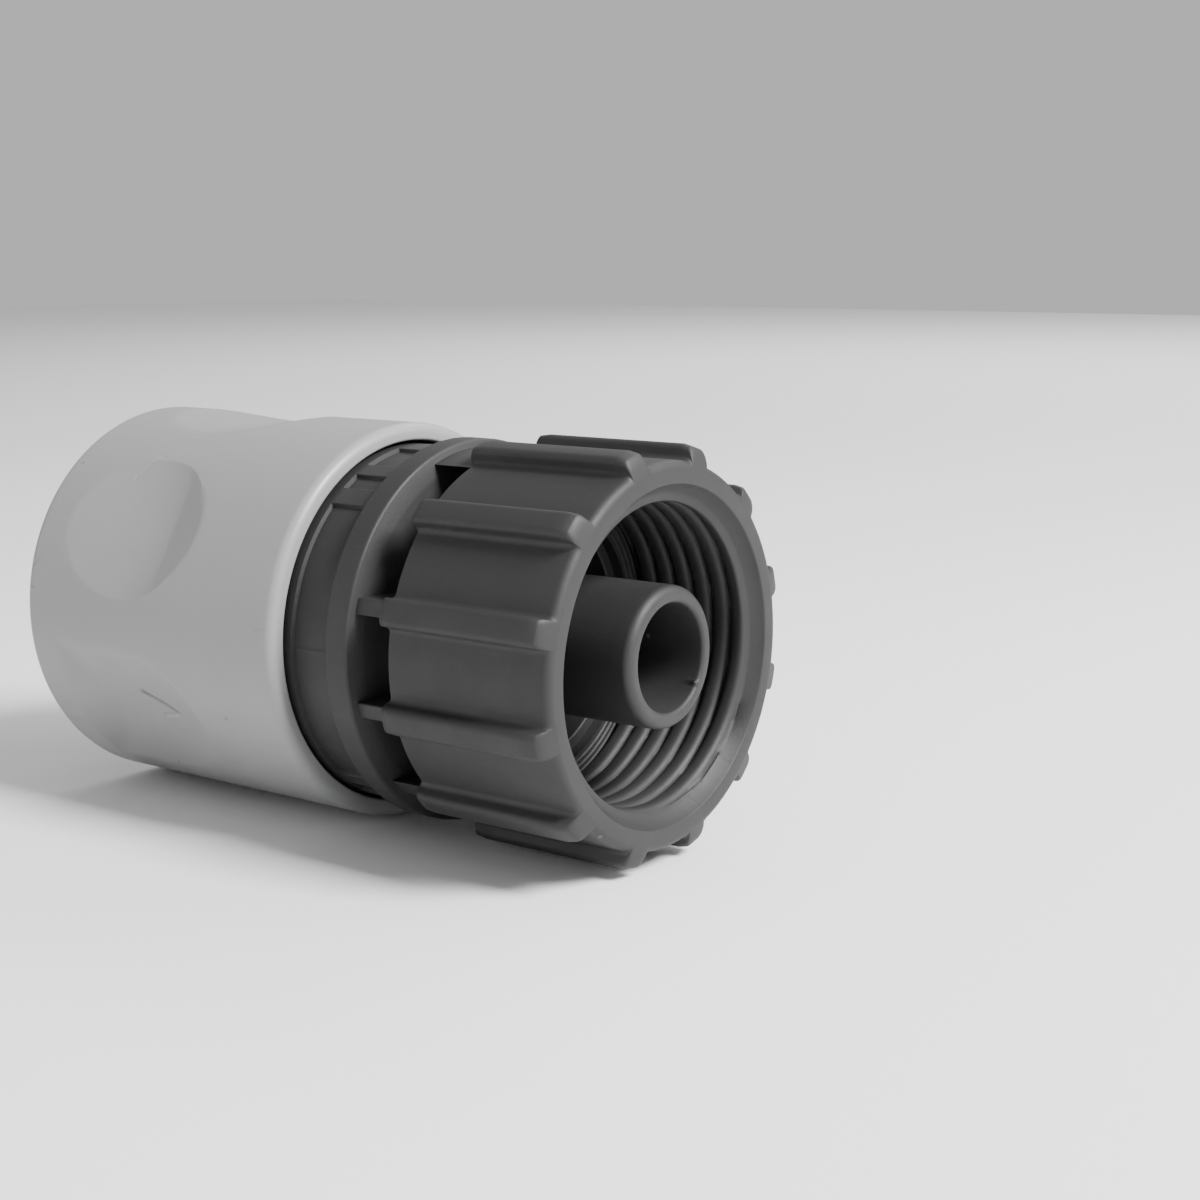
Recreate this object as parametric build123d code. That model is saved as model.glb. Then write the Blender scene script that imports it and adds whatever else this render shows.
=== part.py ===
"""Plastic quick disconnect coupling for hoses: a threaded ring at one end, a click socket at the other.

Millimetres. The coupling's axis is X. The origin is the centre of the threaded ring's mouth, +X points out
of that mouth, and +Z is up. The coupling lies on its side, so stations run back from the mouth along -X.
"""

from build123d import *
import math
import os

# Threaded ring: a 3/4 inch parallel pipe thread, cut here as a plain bore at the thread's major diameter
THREAD_MAJOR_D = 26.44
MOUTH_RELIEF = 0.18
MOUTH_DEPTH = 1.1
THREAD_DEPTH = 12.4
RING_WALL = 2.63
RING_LENGTH = 15.75
RING_LIP_REACH = 3.02
RING_LIP_STEP = 1.0
RING_EDGE = 0.5

# Grip ribs round the ring
RIB_COUNT = 12
RIB_PHASE = 15.0
RIB_WIDTH = 2.2
RIB_HEIGHT = 1.25
RIB_TIP_ROUND = 0.55
RIB_ROOT_ROUND = 0.4

# Spigot inside the ring
SPIGOT_D = 11.6
SPIGOT_WALL = 1.38
SPIGOT_PROUD = 0.1
SPIGOT_END_ROUND = 0.8
SPIGOT_ROOT_STEP = 1.5
SPIGOT_ROOT_LENGTH = 1.2

# Webs that carry the ring on the flange
WEB_GAP = 5.15
WEB_THICKNESS = 1.3
MIDDLE_WEB_SHARE = 0.265
OUTER_WEB_SHARE = 0.72
CAP_WEB_HEIGHT = 1.25

# Flange and skirt
FLANGE_LAP = 0.75
FLANGE_THICKNESS = 1.25
FLANGE_ROUND = 0.95
SKIRT_LENGTH = 10.0
SKIRT_LINE_HEIGHT = 0.14
SKIRT_LINE_WIDTH = 0.3
SKIRT_LINE_SETBACK = 4.6
PANEL_DEPTH = 0.3
PANEL_HALF_ANGLE = 46.0
POCKET_DEPTH = 0.3
POCKET_LENGTH = 2.0
POCKET_ANGLES = ((11.0, 25.0), (30.5, 36.5))

# Socket barrel behind the skirt
SEAL_BORE_D = 16.0
SOCKET_STEP = 2.6
BARREL_WALL = 2.4
SEAL_BORE_LENGTH = 14.0
BULKHEAD = 3.0
SOCKET_CHAMFER = 1.6
SNAP_DEPTH = 0.3
SNAP_WIDTH = 1.0

# Sliding sleeve
SLEEVE_WALL = 1.25
SLEEVE_LENGTH = 31.4
SLEEVE_SETBACK = 5.1
SLEEVE_CLEARANCE = 0.3
SLEEVE_RIM_ROUND = 0.85
SLEEVE_REAR_ROUND = 0.9
SLEEVE_INNER_EDGE = 0.25
SLEEVE_TRAVEL = 4.4
SLEEVE_SPRING_ROOM = 11.0
SLEEVE_STEP_CLEARANCE = 0.45
LAND_LENGTH = 9.0
LAND_CLEARANCE = 0.2

# Finger dimples round the sleeve
DIMPLE_COUNT = 6
DIMPLE_PHASE = 30.0
DIMPLE_DEPTH = 1.05
DIMPLE_HALF_ANGLE = 22.5
DIMPLE_HALF_LENGTH = 8.3
DIMPLE_CREASE = 0.5
DIMPLE_LEAN = 1.1
DIMPLE_FROM_REAR = 4.05
DIMPLE_OVERRUN = 1.25
DIMPLE_GRID = 12
ARROW_WALL_RUN = 4.6
ARROW_DIMPLES = (0, 3)

# Locking claws
CLAW_COUNT = 4
CLAW_REACH = 1.5
CLAW_TRAVEL = 1.3
CLAW_WIDTH = 4.6
CLAW_LENGTH = 3.2
CLAW_HEAD_WIDTH = 7.0
CLAW_HEAD_HEIGHT = 0.9
CLAW_SEAT = 0.1
CLAW_FROM_LAND = 2.4
CLAW_RAMP = 1.9
CLAW_CLEARANCE = 0.15
CAM_CLEARANCE = 0.12

# Mouth ring clipped on the barrel's rear end
MOUTH_RING_WALL = 2.0
MOUTH_RING_LENGTH = 6.2
MOUTH_RING_STEP = 0.2
MOUTH_RING_COVER = 3.0
MOUTH_RING_FLARE = 1.0
MOUTH_RING_EDGE = 0.5
CLIP_CLEARANCE = 0.05
STOP_CLEARANCE = 0.1

# Return spring
SPRING_WIRE_D = 1.1
SPRING_CLEARANCE = 0.95
SPRING_SIDE_CLEARANCE = 0.25
SPRING_TURNS = 3.5
SPRING_SEAT = 0.05

# Sizes that follow from the ones above, from the inside out
RING_R = THREAD_MAJOR_D / 2 + RING_WALL
RIB_TIP_R = RING_R + RIB_HEIGHT
RING_LIP_D = THREAD_MAJOR_D - 2 * RING_LIP_REACH
SPIGOT_BORE_D = SPIGOT_D - 2 * SPIGOT_WALL
SPIGOT_ROOT_D = SPIGOT_D + 2 * SPIGOT_ROOT_STEP
BARREL_BORE_D = SEAL_BORE_D + 2 * SOCKET_STEP
BARREL_D = BARREL_BORE_D + 2 * BARREL_WALL
LAND_R = BARREL_D / 2 + LAND_CLEARANCE
CLAW_TIP_R = BARREL_BORE_D / 2 - CLAW_REACH
MOUTH_RING_D = BARREL_D + 2 * MOUTH_RING_WALL
MOUTH_RING_BORE_D = BARREL_BORE_D + 2 * MOUTH_RING_STEP
REAR_BORE_D = MOUTH_RING_D + 2 * SLEEVE_CLEARANCE
SPRING_MEAN_D = BARREL_D + 2 * SPRING_CLEARANCE + SPRING_WIRE_D
SPRING_OUTER_R = (SPRING_MEAN_D + SPRING_WIRE_D) / 2
SPRING_ROOM_R = SPRING_OUTER_R + SPRING_SIDE_CLEARANCE
SLEEVE_BORE_R = SPRING_OUTER_R + SPRING_CLEARANCE
SLEEVE_D = 2 * (SLEEVE_BORE_R + SLEEVE_WALL)
SKIRT_D = 2 * (SLEEVE_BORE_R - SLEEVE_CLEARANCE)
FLANGE_D = SKIRT_D + 2 * FLANGE_LAP
MIDDLE_WEB_Z = MIDDLE_WEB_SHARE * RING_R
OUTER_WEB_Z = OUTER_WEB_SHARE * RING_R
CAP_WEB_Z = RING_R - CAP_WEB_HEIGHT
CAM_SLOPE = CLAW_TRAVEL / SLEEVE_TRAVEL
RIB_STEP = 360 / RIB_COUNT
DIMPLE_STEP = 360 / DIMPLE_COUNT
CLAW_STEP = 360 / CLAW_COUNT

# Stations along the axis, front to rear
X_RING_REAR = -RING_LENGTH
X_FLANGE_FRONT = X_RING_REAR - WEB_GAP
X_FLANGE_REAR = X_FLANGE_FRONT - FLANGE_THICKNESS
X_BULKHEAD_REAR = X_FLANGE_FRONT - BULKHEAD
X_SKIRT_REAR = X_FLANGE_REAR - SKIRT_LENGTH
X_SEAL_REAR = X_BULKHEAD_REAR - SEAL_BORE_LENGTH
X_SLEEVE_FRONT = X_FLANGE_REAR - SLEEVE_SETBACK
X_SLEEVE_REAR = X_SLEEVE_FRONT - SLEEVE_LENGTH
X_SPRING_STEP = X_SKIRT_REAR - SLEEVE_TRAVEL - SLEEVE_STEP_CLEARANCE
X_LAND_FRONT = X_SKIRT_REAR - SPRING_SEAT - SLEEVE_SPRING_ROOM
X_LAND_REAR = X_LAND_FRONT - LAND_LENGTH
X_CLAW_FRONT = X_LAND_FRONT - CLAW_FROM_LAND
X_CLAW_REAR = X_CLAW_FRONT - CLAW_LENGTH
X_MOUTH_FRONT = X_LAND_REAR - STOP_CLEARANCE
X_MOUTH_REAR = X_MOUTH_FRONT - MOUTH_RING_LENGTH
X_BARREL_REAR = X_MOUTH_FRONT - MOUTH_RING_COVER
X_DIMPLE_REAR = X_SLEEVE_REAR + DIMPLE_FROM_REAR
X_DIMPLE_MIDDLE = X_DIMPLE_REAR + DIMPLE_HALF_LENGTH


def turned(corners):
    """A solid turned about the coupling's axis from (station, radius) corners."""
    outline = Polyline(*corners, close=True)
    return revolve(make_face(outline), Axis.X)


def tube(front, rear, outer_r, inner_r):
    """A plain ring between two stations."""
    return turned([(front, inner_r), (front, outer_r), (rear, outer_r), (rear, inner_r)])


def rod(front, rear, radius):
    """A plain round bar between two stations."""
    return turned([(front, 0), (front, radius), (rear, radius), (rear, 0)])


def slab(front, rear, y_range, z_range):
    """A block between two stations."""
    centre = Vector((front + rear) / 2, sum(y_range) / 2, sum(z_range) / 2)
    size = (front - rear, y_range[1] - y_range[0], z_range[1] - z_range[0])
    return Pos(*centre) * Box(*size)


def turn(solid, angle):
    """The solid turned about the coupling's axis, where zero keeps +Z up."""
    return Rot(angle, 0, 0) * solid


def rim(solid, station, radius):
    """The round edges of a solid at one station and radius."""
    def here(edge):
        if edge.geom_type != GeomType.CIRCLE:
            return False
        return abs(edge.arc_center.X - station) < 0.01 and abs(edge.radius - radius) < 0.01
    return solid.edges().filter_by(here)


def sector(front, rear, outer_r, inner_r, from_angle, to_angle):
    """A stretch of ring between two angles, counted from +Z towards +Y."""
    outline = Polyline((front, inner_r), (front, outer_r), (rear, outer_r), (rear, inner_r), close=True)
    stretch = revolve(make_face(outline), Axis.X, to_angle - from_angle)
    return Rot(90 - to_angle, 0, 0) * stretch


def rib_outline():
    """One rib and the arc of ring up to the next, as edges about the +X direction of the sketch."""
    half = RIB_WIDTH / 2
    root_v = half + RIB_ROOT_ROUND
    root_u = math.sqrt((RING_R + RIB_ROOT_ROUND) ** 2 - root_v ** 2)
    root_angle = math.degrees(math.atan2(root_v, root_u))
    tip_u = RIB_TIP_R - RIB_TIP_ROUND
    tip_v = half - RIB_TIP_ROUND
    root_sweep = 90 - root_angle
    return [
        CenterArc((root_u, -root_v), RIB_ROOT_ROUND, 90, root_sweep),
        Line((root_u, -half), (tip_u, -half)),
        CenterArc((tip_u, -tip_v), RIB_TIP_ROUND, -90, 90),
        Line((RIB_TIP_R, -tip_v), (RIB_TIP_R, tip_v)),
        CenterArc((tip_u, tip_v), RIB_TIP_ROUND, 0, 90),
        Line((tip_u, half), (root_u, half)),
        CenterArc((root_u, root_v), RIB_ROOT_ROUND, -90, -root_sweep),
        CenterArc((0, 0), RING_R, root_angle, RIB_STEP - 2 * root_angle),
    ]


def ribbed_ring():
    """The ring's outside, with its grip ribs, as one extruded outline with a rounded front edge."""
    edges = []
    for index in range(RIB_COUNT):
        spin = Rot(0, 0, RIB_PHASE + index * RIB_STEP)
        edges += [spin * edge for edge in rib_outline()]
    outline = make_face(edges)
    ring = extrude(Plane.YZ.offset(X_RING_REAR) * outline, RING_LENGTH)
    front_face = ring.faces().sort_by(Axis.X)[-1]
    return fillet(front_face.outer_wire().edges(), RING_EDGE)


def ring_cavity():
    """What the ring's inside removes: mouth relief, thread bore, and the lip at the bottom."""
    thread_r = THREAD_MAJOR_D / 2
    mouth_r = thread_r + MOUTH_RELIEF
    lip_r = RING_LIP_D / 2
    corners = [
        (RING_EDGE, 0),
        (RING_EDGE, mouth_r + RING_EDGE),
        (0, mouth_r + MOUTH_RELIEF),
        (-MOUTH_RELIEF, mouth_r),
        (-MOUTH_DEPTH, mouth_r),
        (-MOUTH_DEPTH, thread_r),
        (-THREAD_DEPTH, thread_r),
        (-THREAD_DEPTH, lip_r + RING_LIP_STEP),
        (-THREAD_DEPTH - RING_LIP_STEP, lip_r + RING_LIP_STEP),
        (-THREAD_DEPTH - RING_LIP_STEP, lip_r),
        (X_RING_REAR - 1, lip_r),
        (X_RING_REAR - 1, 0),
    ]
    return turned(corners)


def webs():
    """Flat webs, all parallel, that hold the ring on the flange. The outer pair is half width."""
    half = WEB_THICKNESS / 2
    wide = (-RING_R, RING_R)
    plates = []
    for side in (-1, 1):
        middle = side * MIDDLE_WEB_Z
        outer = side * OUTER_WEB_Z
        narrow = sorted((0, side * RING_R))
        cap = sorted((side * CAP_WEB_Z, side * RING_R))
        plates.append(slab(X_RING_REAR, X_FLANGE_FRONT, wide, (middle - half, middle + half)))
        plates.append(slab(X_RING_REAR, X_FLANGE_FRONT, narrow, (outer - half, outer + half)))
        plates.append(slab(X_RING_REAR, X_FLANGE_FRONT, wide, cap))
    return rod(X_RING_REAR, X_FLANGE_FRONT, RING_R) & Compound(plates)


def spigot():
    """The spigot inside the ring, with its root boss on the flange."""
    spigot_r = SPIGOT_D / 2
    x_boss = X_RING_REAR + SPIGOT_ROOT_LENGTH
    stem = rod(SPIGOT_PROUD, X_FLANGE_FRONT, spigot_r)
    stem = fillet(rim(stem, SPIGOT_PROUD, spigot_r), SPIGOT_END_ROUND)
    return stem + rod(x_boss, X_FLANGE_FRONT, SPIGOT_ROOT_D / 2)


def flange():
    """The thin flange between ring and skirt, with a rounded front edge."""
    disc = rod(X_FLANGE_FRONT, X_FLANGE_REAR, FLANGE_D / 2)
    return fillet(rim(disc, X_FLANGE_FRONT, FLANGE_D / 2), FLANGE_ROUND)


def skirt():
    """The skirt that the sleeve slides over, with side panels, a thin line and moulded pockets."""
    skirt_r = SKIRT_D / 2
    x_line = X_FLANGE_REAR - SKIRT_LINE_SETBACK
    solid = rod(X_FLANGE_REAR, X_SKIRT_REAR, skirt_r)
    solid += rod(x_line, x_line - SKIRT_LINE_WIDTH, skirt_r + SKIRT_LINE_HEIGHT)
    for side in (0, 180):
        panel = sector(X_FLANGE_REAR, x_line, skirt_r + 1, skirt_r - PANEL_DEPTH,
                       90 - PANEL_HALF_ANGLE, 90 + PANEL_HALF_ANGLE)
        solid -= turn(panel, side)
        for hand in (-1, 1):
            for near, far in POCKET_ANGLES:
                x_pocket = x_line + PANEL_DEPTH
                pocket = sector(x_pocket + POCKET_LENGTH, x_pocket, skirt_r + 1, skirt_r - POCKET_DEPTH,
                                *sorted((hand * near, hand * far)))
                solid -= turn(pocket, side)
    return solid


def water_way():
    """Everything bored through the body: spigot bore, seal bore, and the socket behind it."""
    seal_r = SEAL_BORE_D / 2
    socket_r = BARREL_BORE_D / 2
    corners = [
        (SPIGOT_PROUD + 1, 0),
        (SPIGOT_PROUD + 1, SPIGOT_BORE_D / 2),
        (X_BULKHEAD_REAR, SPIGOT_BORE_D / 2),
        (X_BULKHEAD_REAR, seal_r),
        (X_SEAL_REAR, seal_r),
        (X_SEAL_REAR - SOCKET_CHAMFER, socket_r),
        (X_BARREL_REAR - 1, socket_r),
        (X_BARREL_REAR - 1, 0),
    ]
    return turned(corners)


def claw_windows():
    """Windows through the barrel wall, one for each claw."""
    half = CLAW_WIDTH / 2 + CLAW_CLEARANCE
    window = slab(X_CLAW_FRONT + CLAW_CLEARANCE, X_CLAW_REAR - CLAW_CLEARANCE, (-half, half), (0, BARREL_D))
    return [turn(window, index * CLAW_STEP) for index in range(CLAW_COUNT)]


def body():
    """The one-piece body: ring, webs, flange, skirt, spigot and socket barrel."""
    snap_front = X_MOUTH_FRONT - SNAP_WIDTH
    barrel = rod(X_SKIRT_REAR, X_BARREL_REAR, BARREL_D / 2)
    barrel -= tube(snap_front, snap_front - SNAP_WIDTH, BARREL_D, BARREL_D / 2 - SNAP_DEPTH)
    solid = ribbed_ring() - ring_cavity()
    solid += webs() + spigot() + flange() + skirt() + barrel
    solid -= water_way()
    for window in claw_windows():
        solid -= window
    return solid


def sleeve_shell():
    """The sleeve as turned: spring room, land over the claws, and the rear bore."""
    outer_r = SLEEVE_D / 2
    corners = [
        (X_SLEEVE_FRONT, SLEEVE_BORE_R),
        (X_SLEEVE_FRONT, outer_r),
        (X_SLEEVE_REAR, outer_r),
        (X_SLEEVE_REAR, REAR_BORE_D / 2),
        (X_LAND_REAR, REAR_BORE_D / 2),
        (X_LAND_REAR, LAND_R),
        (X_LAND_FRONT, LAND_R),
        (X_LAND_FRONT, SPRING_ROOM_R),
        (X_SPRING_STEP, SPRING_ROOM_R),
        (X_SPRING_STEP, SLEEVE_BORE_R),
    ]
    shell = turned(corners)
    shell = fillet(rim(shell, X_SLEEVE_FRONT, outer_r), SLEEVE_RIM_ROUND)
    shell = fillet(rim(shell, X_SLEEVE_REAR, outer_r), SLEEVE_REAR_ROUND)
    inner = rim(shell, X_SLEEVE_FRONT, SLEEVE_BORE_R) + rim(shell, X_SLEEVE_REAR, REAR_BORE_D / 2)
    return fillet(inner, SLEEVE_INNER_EDGE)


def plain_floor(along, across):
    """Depth of a plain dimple's long floor, which deepens towards the front, in shares of its half sizes."""
    lean = DIMPLE_DEPTH / (1 - DIMPLE_CREASE ** 2) * math.exp(DIMPLE_LEAN * (along - DIMPLE_CREASE))
    return lean * (1 - along ** 2 - across ** 2)


def plain_wall(along, across):
    """Depth of the steeper front wall, which meets the long floor in a crease."""
    steepness = DIMPLE_DEPTH / (1 - DIMPLE_CREASE)
    return steepness * (1 - along - across ** 2 / (1 + DIMPLE_CREASE))


def arrow_floor(along, across):
    """Depth of an arrow dimple's floor, which runs out in a round front end."""
    return DIMPLE_DEPTH * (1 - max(along, 0) ** 2 - across ** 2)


def dimple_tool(depth, reach):
    """Everything over a surface at the given depth below the sleeve's top, out to a reach past the dimple."""
    rows = []
    for i in range(DIMPLE_GRID + 1):
        along = reach * (2 * i / DIMPLE_GRID - 1)
        row = []
        for j in range(DIMPLE_GRID + 1):
            across = reach * (2 * j / DIMPLE_GRID - 1)
            bend = math.radians(across * DIMPLE_HALF_ANGLE)
            radius = SLEEVE_D / 2 - depth(along, across)
            x = X_DIMPLE_MIDDLE + along * DIMPLE_HALF_LENGTH
            row.append((x, radius * math.sin(bend), radius * math.cos(bend)))
        rows.append(row)
    surface = Face.make_surface_from_array_of_points(rows, tol=0.001)
    return extrude(surface, SLEEVE_D / 2, dir=(0, 0, 1))


def plain_dimple():
    """A dimple with a long floor from the rear and a short wall at the front."""
    return dimple_tool(plain_floor, DIMPLE_OVERRUN) & dimple_tool(plain_wall, DIMPLE_OVERRUN + 0.1)


def arrow_dimple():
    """A dimple with a straight rear edge, a wall below it, and a floor that runs out to the front."""
    outer_r = SLEEVE_D / 2
    steepness = DIMPLE_DEPTH / ARROW_WALL_RUN
    x_foot = X_DIMPLE_REAR + 2 * ARROW_WALL_RUN
    corners = [
        (X_SLEEVE_REAR - 1, 0),
        (X_SLEEVE_REAR - 1, 2 * outer_r),
        (X_DIMPLE_REAR, 2 * outer_r),
        (X_DIMPLE_REAR, outer_r),
        (x_foot, outer_r - steepness * (x_foot - X_DIMPLE_REAR)),
        (x_foot, 0),
    ]
    return dimple_tool(arrow_floor, DIMPLE_OVERRUN) - turned(corners)


def claw_pocket():
    """The ramp that each claw's head bears on, cut into the sleeve's land above +Z."""
    half = CLAW_HEAD_WIDTH / 2 + 2 * CLAW_CLEARANCE
    x_front = X_CLAW_FRONT + CLAW_CLEARANCE
    x_rear = X_CLAW_REAR - SLEEVE_TRAVEL - CLAW_CLEARANCE
    start_r = BARREL_D / 2 + CLAW_SEAT + CLAW_HEAD_HEIGHT + CAM_CLEARANCE
    start_r -= CAM_SLOPE * CLAW_CLEARANCE
    corners = [
        (x_front, 0),
        (x_front, start_r),
        (x_rear, start_r + CAM_SLOPE * (x_front - x_rear)),
        (x_rear, 0),
    ]
    return turned(corners) & slab(x_front, x_rear, (-half, half), (0, SLEEVE_D))


def sleeve():
    """The sleeve that slides over the skirt, with finger dimples outside and claw ramps inside."""
    solid = sleeve_shell()
    plain = plain_dimple()
    arrow = arrow_dimple()
    for index in range(DIMPLE_COUNT):
        cutter = arrow if index in ARROW_DIMPLES else plain
        solid -= turn(cutter, DIMPLE_PHASE + index * DIMPLE_STEP - 90)
    pocket = claw_pocket()
    for index in range(CLAW_COUNT):
        solid -= turn(pocket, index * CLAW_STEP)
    return solid


def claw():
    """One locking claw above +Z: a stem through the barrel's window, and a wider head under the sleeve."""
    seat_r = BARREL_D / 2 + CLAW_SEAT
    top_r = seat_r + CLAW_HEAD_HEIGHT
    corners = [
        (X_CLAW_FRONT, CLAW_TIP_R),
        (X_CLAW_FRONT, top_r),
        (X_CLAW_REAR, top_r + CAM_SLOPE * CLAW_LENGTH),
        (X_CLAW_REAR, CLAW_TIP_R + CLAW_RAMP),
        (X_CLAW_REAR + CLAW_RAMP, CLAW_TIP_R),
    ]
    blank = turned(corners)
    stem = slab(X_CLAW_FRONT, X_CLAW_REAR, (-CLAW_WIDTH / 2, CLAW_WIDTH / 2), (0, SLEEVE_D))
    head = slab(X_CLAW_FRONT, X_CLAW_REAR, (-CLAW_HEAD_WIDTH / 2, CLAW_HEAD_WIDTH / 2), (0, SLEEVE_D))
    head -= rod(X_CLAW_FRONT + 1, X_CLAW_REAR - 1, seat_r)
    return blank & (stem + head)


def mouth_ring():
    """The ring clipped on the barrel's end: it stops the sleeve and guides the mating nipple in."""
    outer_r = MOUTH_RING_D / 2
    bore_r = MOUTH_RING_BORE_D / 2
    clip_r = BARREL_D / 2 + CLIP_CLEARANCE
    bead_front = X_MOUTH_FRONT - SNAP_WIDTH - CLIP_CLEARANCE
    bead_rear = X_MOUTH_FRONT - 2 * SNAP_WIDTH + CLIP_CLEARANCE
    corners = [
        (X_MOUTH_FRONT, clip_r),
        (X_MOUTH_FRONT, outer_r),
        (X_MOUTH_REAR, outer_r),
        (X_MOUTH_REAR, bore_r + MOUTH_RING_FLARE),
        (X_MOUTH_REAR + MOUTH_RING_FLARE, bore_r),
        (X_BARREL_REAR, bore_r),
        (X_BARREL_REAR, clip_r),
        (bead_rear, clip_r),
        (bead_rear, clip_r - SNAP_DEPTH),
        (bead_front, clip_r - SNAP_DEPTH),
        (bead_front, clip_r),
    ]
    ring = turned(corners)
    return fillet(rim(ring, X_MOUTH_REAR, outer_r), MOUTH_RING_EDGE)


def return_spring():
    """The wire spring between the skirt's rear face and the sleeve's shoulder."""
    wire_r = SPRING_WIRE_D / 2
    mean_r = SPRING_MEAN_D / 2
    length = SLEEVE_SPRING_ROOM - SPRING_WIRE_D - SPRING_SEAT
    path = Helix(pitch=length / SPRING_TURNS, height=length, radius=mean_r)
    start = Plane(origin=path @ 0, z_dir=path % 0)
    coil = sweep(start * Circle(wire_r), path)
    return Pos(X_LAND_FRONT + wire_r + SPRING_SEAT, 0, 0) * Rot(0, 90, 0) * coil


os.makedirs("parts", exist_ok=True)
nodes = {
    "body": body(),
    "sleeve": sleeve(),
    "mouth_ring": mouth_ring(),
    "return_spring": return_spring(),
}
for number in range(CLAW_COUNT):
    nodes[f"claw_{number + 1}"] = turn(claw(), -number * CLAW_STEP)
for name, solid in nodes.items():
    export_step(solid, f"parts/{name}.step")
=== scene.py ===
import math

import bmesh
import bpy
import numpy as np
from mathutils import Matrix, Vector


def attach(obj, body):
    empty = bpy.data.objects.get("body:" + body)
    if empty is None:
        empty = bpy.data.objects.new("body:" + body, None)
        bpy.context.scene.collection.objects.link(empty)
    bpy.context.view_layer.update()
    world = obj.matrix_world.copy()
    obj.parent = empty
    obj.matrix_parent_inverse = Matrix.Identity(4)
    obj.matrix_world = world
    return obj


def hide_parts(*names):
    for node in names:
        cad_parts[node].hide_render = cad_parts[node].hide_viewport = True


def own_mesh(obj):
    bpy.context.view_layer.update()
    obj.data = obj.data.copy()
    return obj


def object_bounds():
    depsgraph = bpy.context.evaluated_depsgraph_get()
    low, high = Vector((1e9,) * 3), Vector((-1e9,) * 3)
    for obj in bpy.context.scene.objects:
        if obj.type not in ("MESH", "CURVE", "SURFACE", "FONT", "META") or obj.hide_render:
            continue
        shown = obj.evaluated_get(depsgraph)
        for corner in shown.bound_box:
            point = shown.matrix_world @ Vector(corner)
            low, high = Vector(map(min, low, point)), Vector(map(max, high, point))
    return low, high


# Looks of a plastic quick disconnect hose coupling. Stations and radii are in millimetres along and about
# the coupling's axis, X, and become metres where a mesh is made. Angles are in degrees from +Y towards +Z.
MM = 0.001

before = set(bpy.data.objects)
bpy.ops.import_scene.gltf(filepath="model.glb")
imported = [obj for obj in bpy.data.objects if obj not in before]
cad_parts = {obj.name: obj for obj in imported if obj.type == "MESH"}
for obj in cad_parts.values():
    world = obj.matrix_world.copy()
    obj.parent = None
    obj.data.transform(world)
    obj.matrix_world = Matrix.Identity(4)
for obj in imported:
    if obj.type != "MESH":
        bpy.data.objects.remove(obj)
CAD_LOW, CAD_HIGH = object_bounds()


# Threaded ring
RING_R = 15.66
RING_LENGTH = 15.95
RING_EDGE = 0.75
RING_REAR_EDGE = 0.15
MOUTH_R = 13.85
MOUTH_EDGE = 0.2
MOUTH_DEPTH = 1.05
THREAD_ROOT_R = 13.22
THREAD_CREST_R = 12.35
THREAD_PITCH = 1.814
THREAD_SHIFT = 0.56
THREAD_GROOVE = 0.75
THREAD_ROOT_FLAT = 0.02
THREAD_RUN_IN = 0.3
THREAD_RUN_OUT = 0.6
THREAD_END = 12.4
LIP_R = 10.2
LIP_STEP = 1.0
LIP_EDGE = 0.2
LIP_GROOVES = (11.65, 12.2, 12.75)
LIP_GROOVE_HALF_WIDTH = 0.16
LIP_GROOVE_HALF_FLOOR = 0.06
LIP_GROOVE_DEPTH = 0.12

# Grip ribs
RIB_COUNT = 12
RIB_PHASE = 15.0
RIB_HALF_WIDTH = 1.1
RIB_HEIGHT = 1.44
RIB_TIP_ROUND = 0.55
RIB_ROOT_ROUND = 0.5
RIB_END_ROUND = 1.3
RIB_START = 0.12
RIB_BACK_ROUND = 0.3
RIB_BACK_SHOULDER = 0.02
RIB_OVERRUN = 0.2
RIB_OVERRUN_RUN = 0.4
RIB_OVERRUN_FULL_HEIGHT = 0.4

# Spigot
SPIGOT_R = 5.8
SPIGOT_BORE_R = 4.42
SPIGOT_PROUD = 0.1
SPIGOT_ROUND = 0.75
SPIGOT_BORE_EDGE = 0.35
SPIGOT_BOSS_R = 7.3
SPIGOT_BOSS_LENGTH = 1.2
SPIGOT_BOSS_ROOT = 0.4
SPIGOT_BOSS_EDGE = 0.3
SPIGOT_SUNK = 0.2
FLASH_AT = 324.0
FLASH_HALF_ANGLE = 4.5
FLASH_HEIGHT = 0.22
FLASH_RAGGEDNESS = 0.35
FLASH_RAGGED_TURNS = 260
FLASH_BACK = 0.5
FLASH_RUN = 0.4
FLASH_BAND = 0.4
FLASH_ANGLE_MARGIN = 2
FLASH_ANGLE_STEP = 0.75
FLASH_ANGLE_STEPS = 8

# Webs, flange and skirt
FLANGE_FRONT = -19.9
FLANGE_REAR = -22.15
FLANGE_R = 16.3
FLANGE_ROUND = 0.3
FLANGE_REAR_EDGE = 0.12
DOME_HEIGHT = 0.9
DOME_FROM_RIM = 4.5
DOME_SHOULDER_HEIGHT = 0.45
DOME_SHOULDER_FROM_RIM = 1.6
DOME_ROUND = 2.5
WEB_THICKNESS = 1.3
MIDDLE_WEB_Z = 4.2
OUTER_WEB_Z = 11.4
CAP_WEB_Z = 14.6
CAP_WEB_BELOW = 0.02
WEB_SUNK = 0.1
WEB_BEVEL = 0.18
WEB_BEVEL_FROM = 50
SKIRT_R = 15.45
SKIRT_REAR = -32.15
SKIRT_REAR_EDGE = 0.3
SKIRT_STEP_X = -26.8
SKIRT_STEP_RUN = 0.12
PANEL_HALF_ANGLE = 47.5
PANEL_DEPTH = 0.32
POCKET_DEPTH = 0.36
POCKETS = ((8.5, 23.0), (29.0, 35.5))
RECESS_EDGE = 0.4
BULKHEAD_REAR = -23.9
PARTING_HEIGHT = 0.04
PARTING_HALF_ANGLE = 0.3
PARTING_FLANK = 1.4
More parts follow.
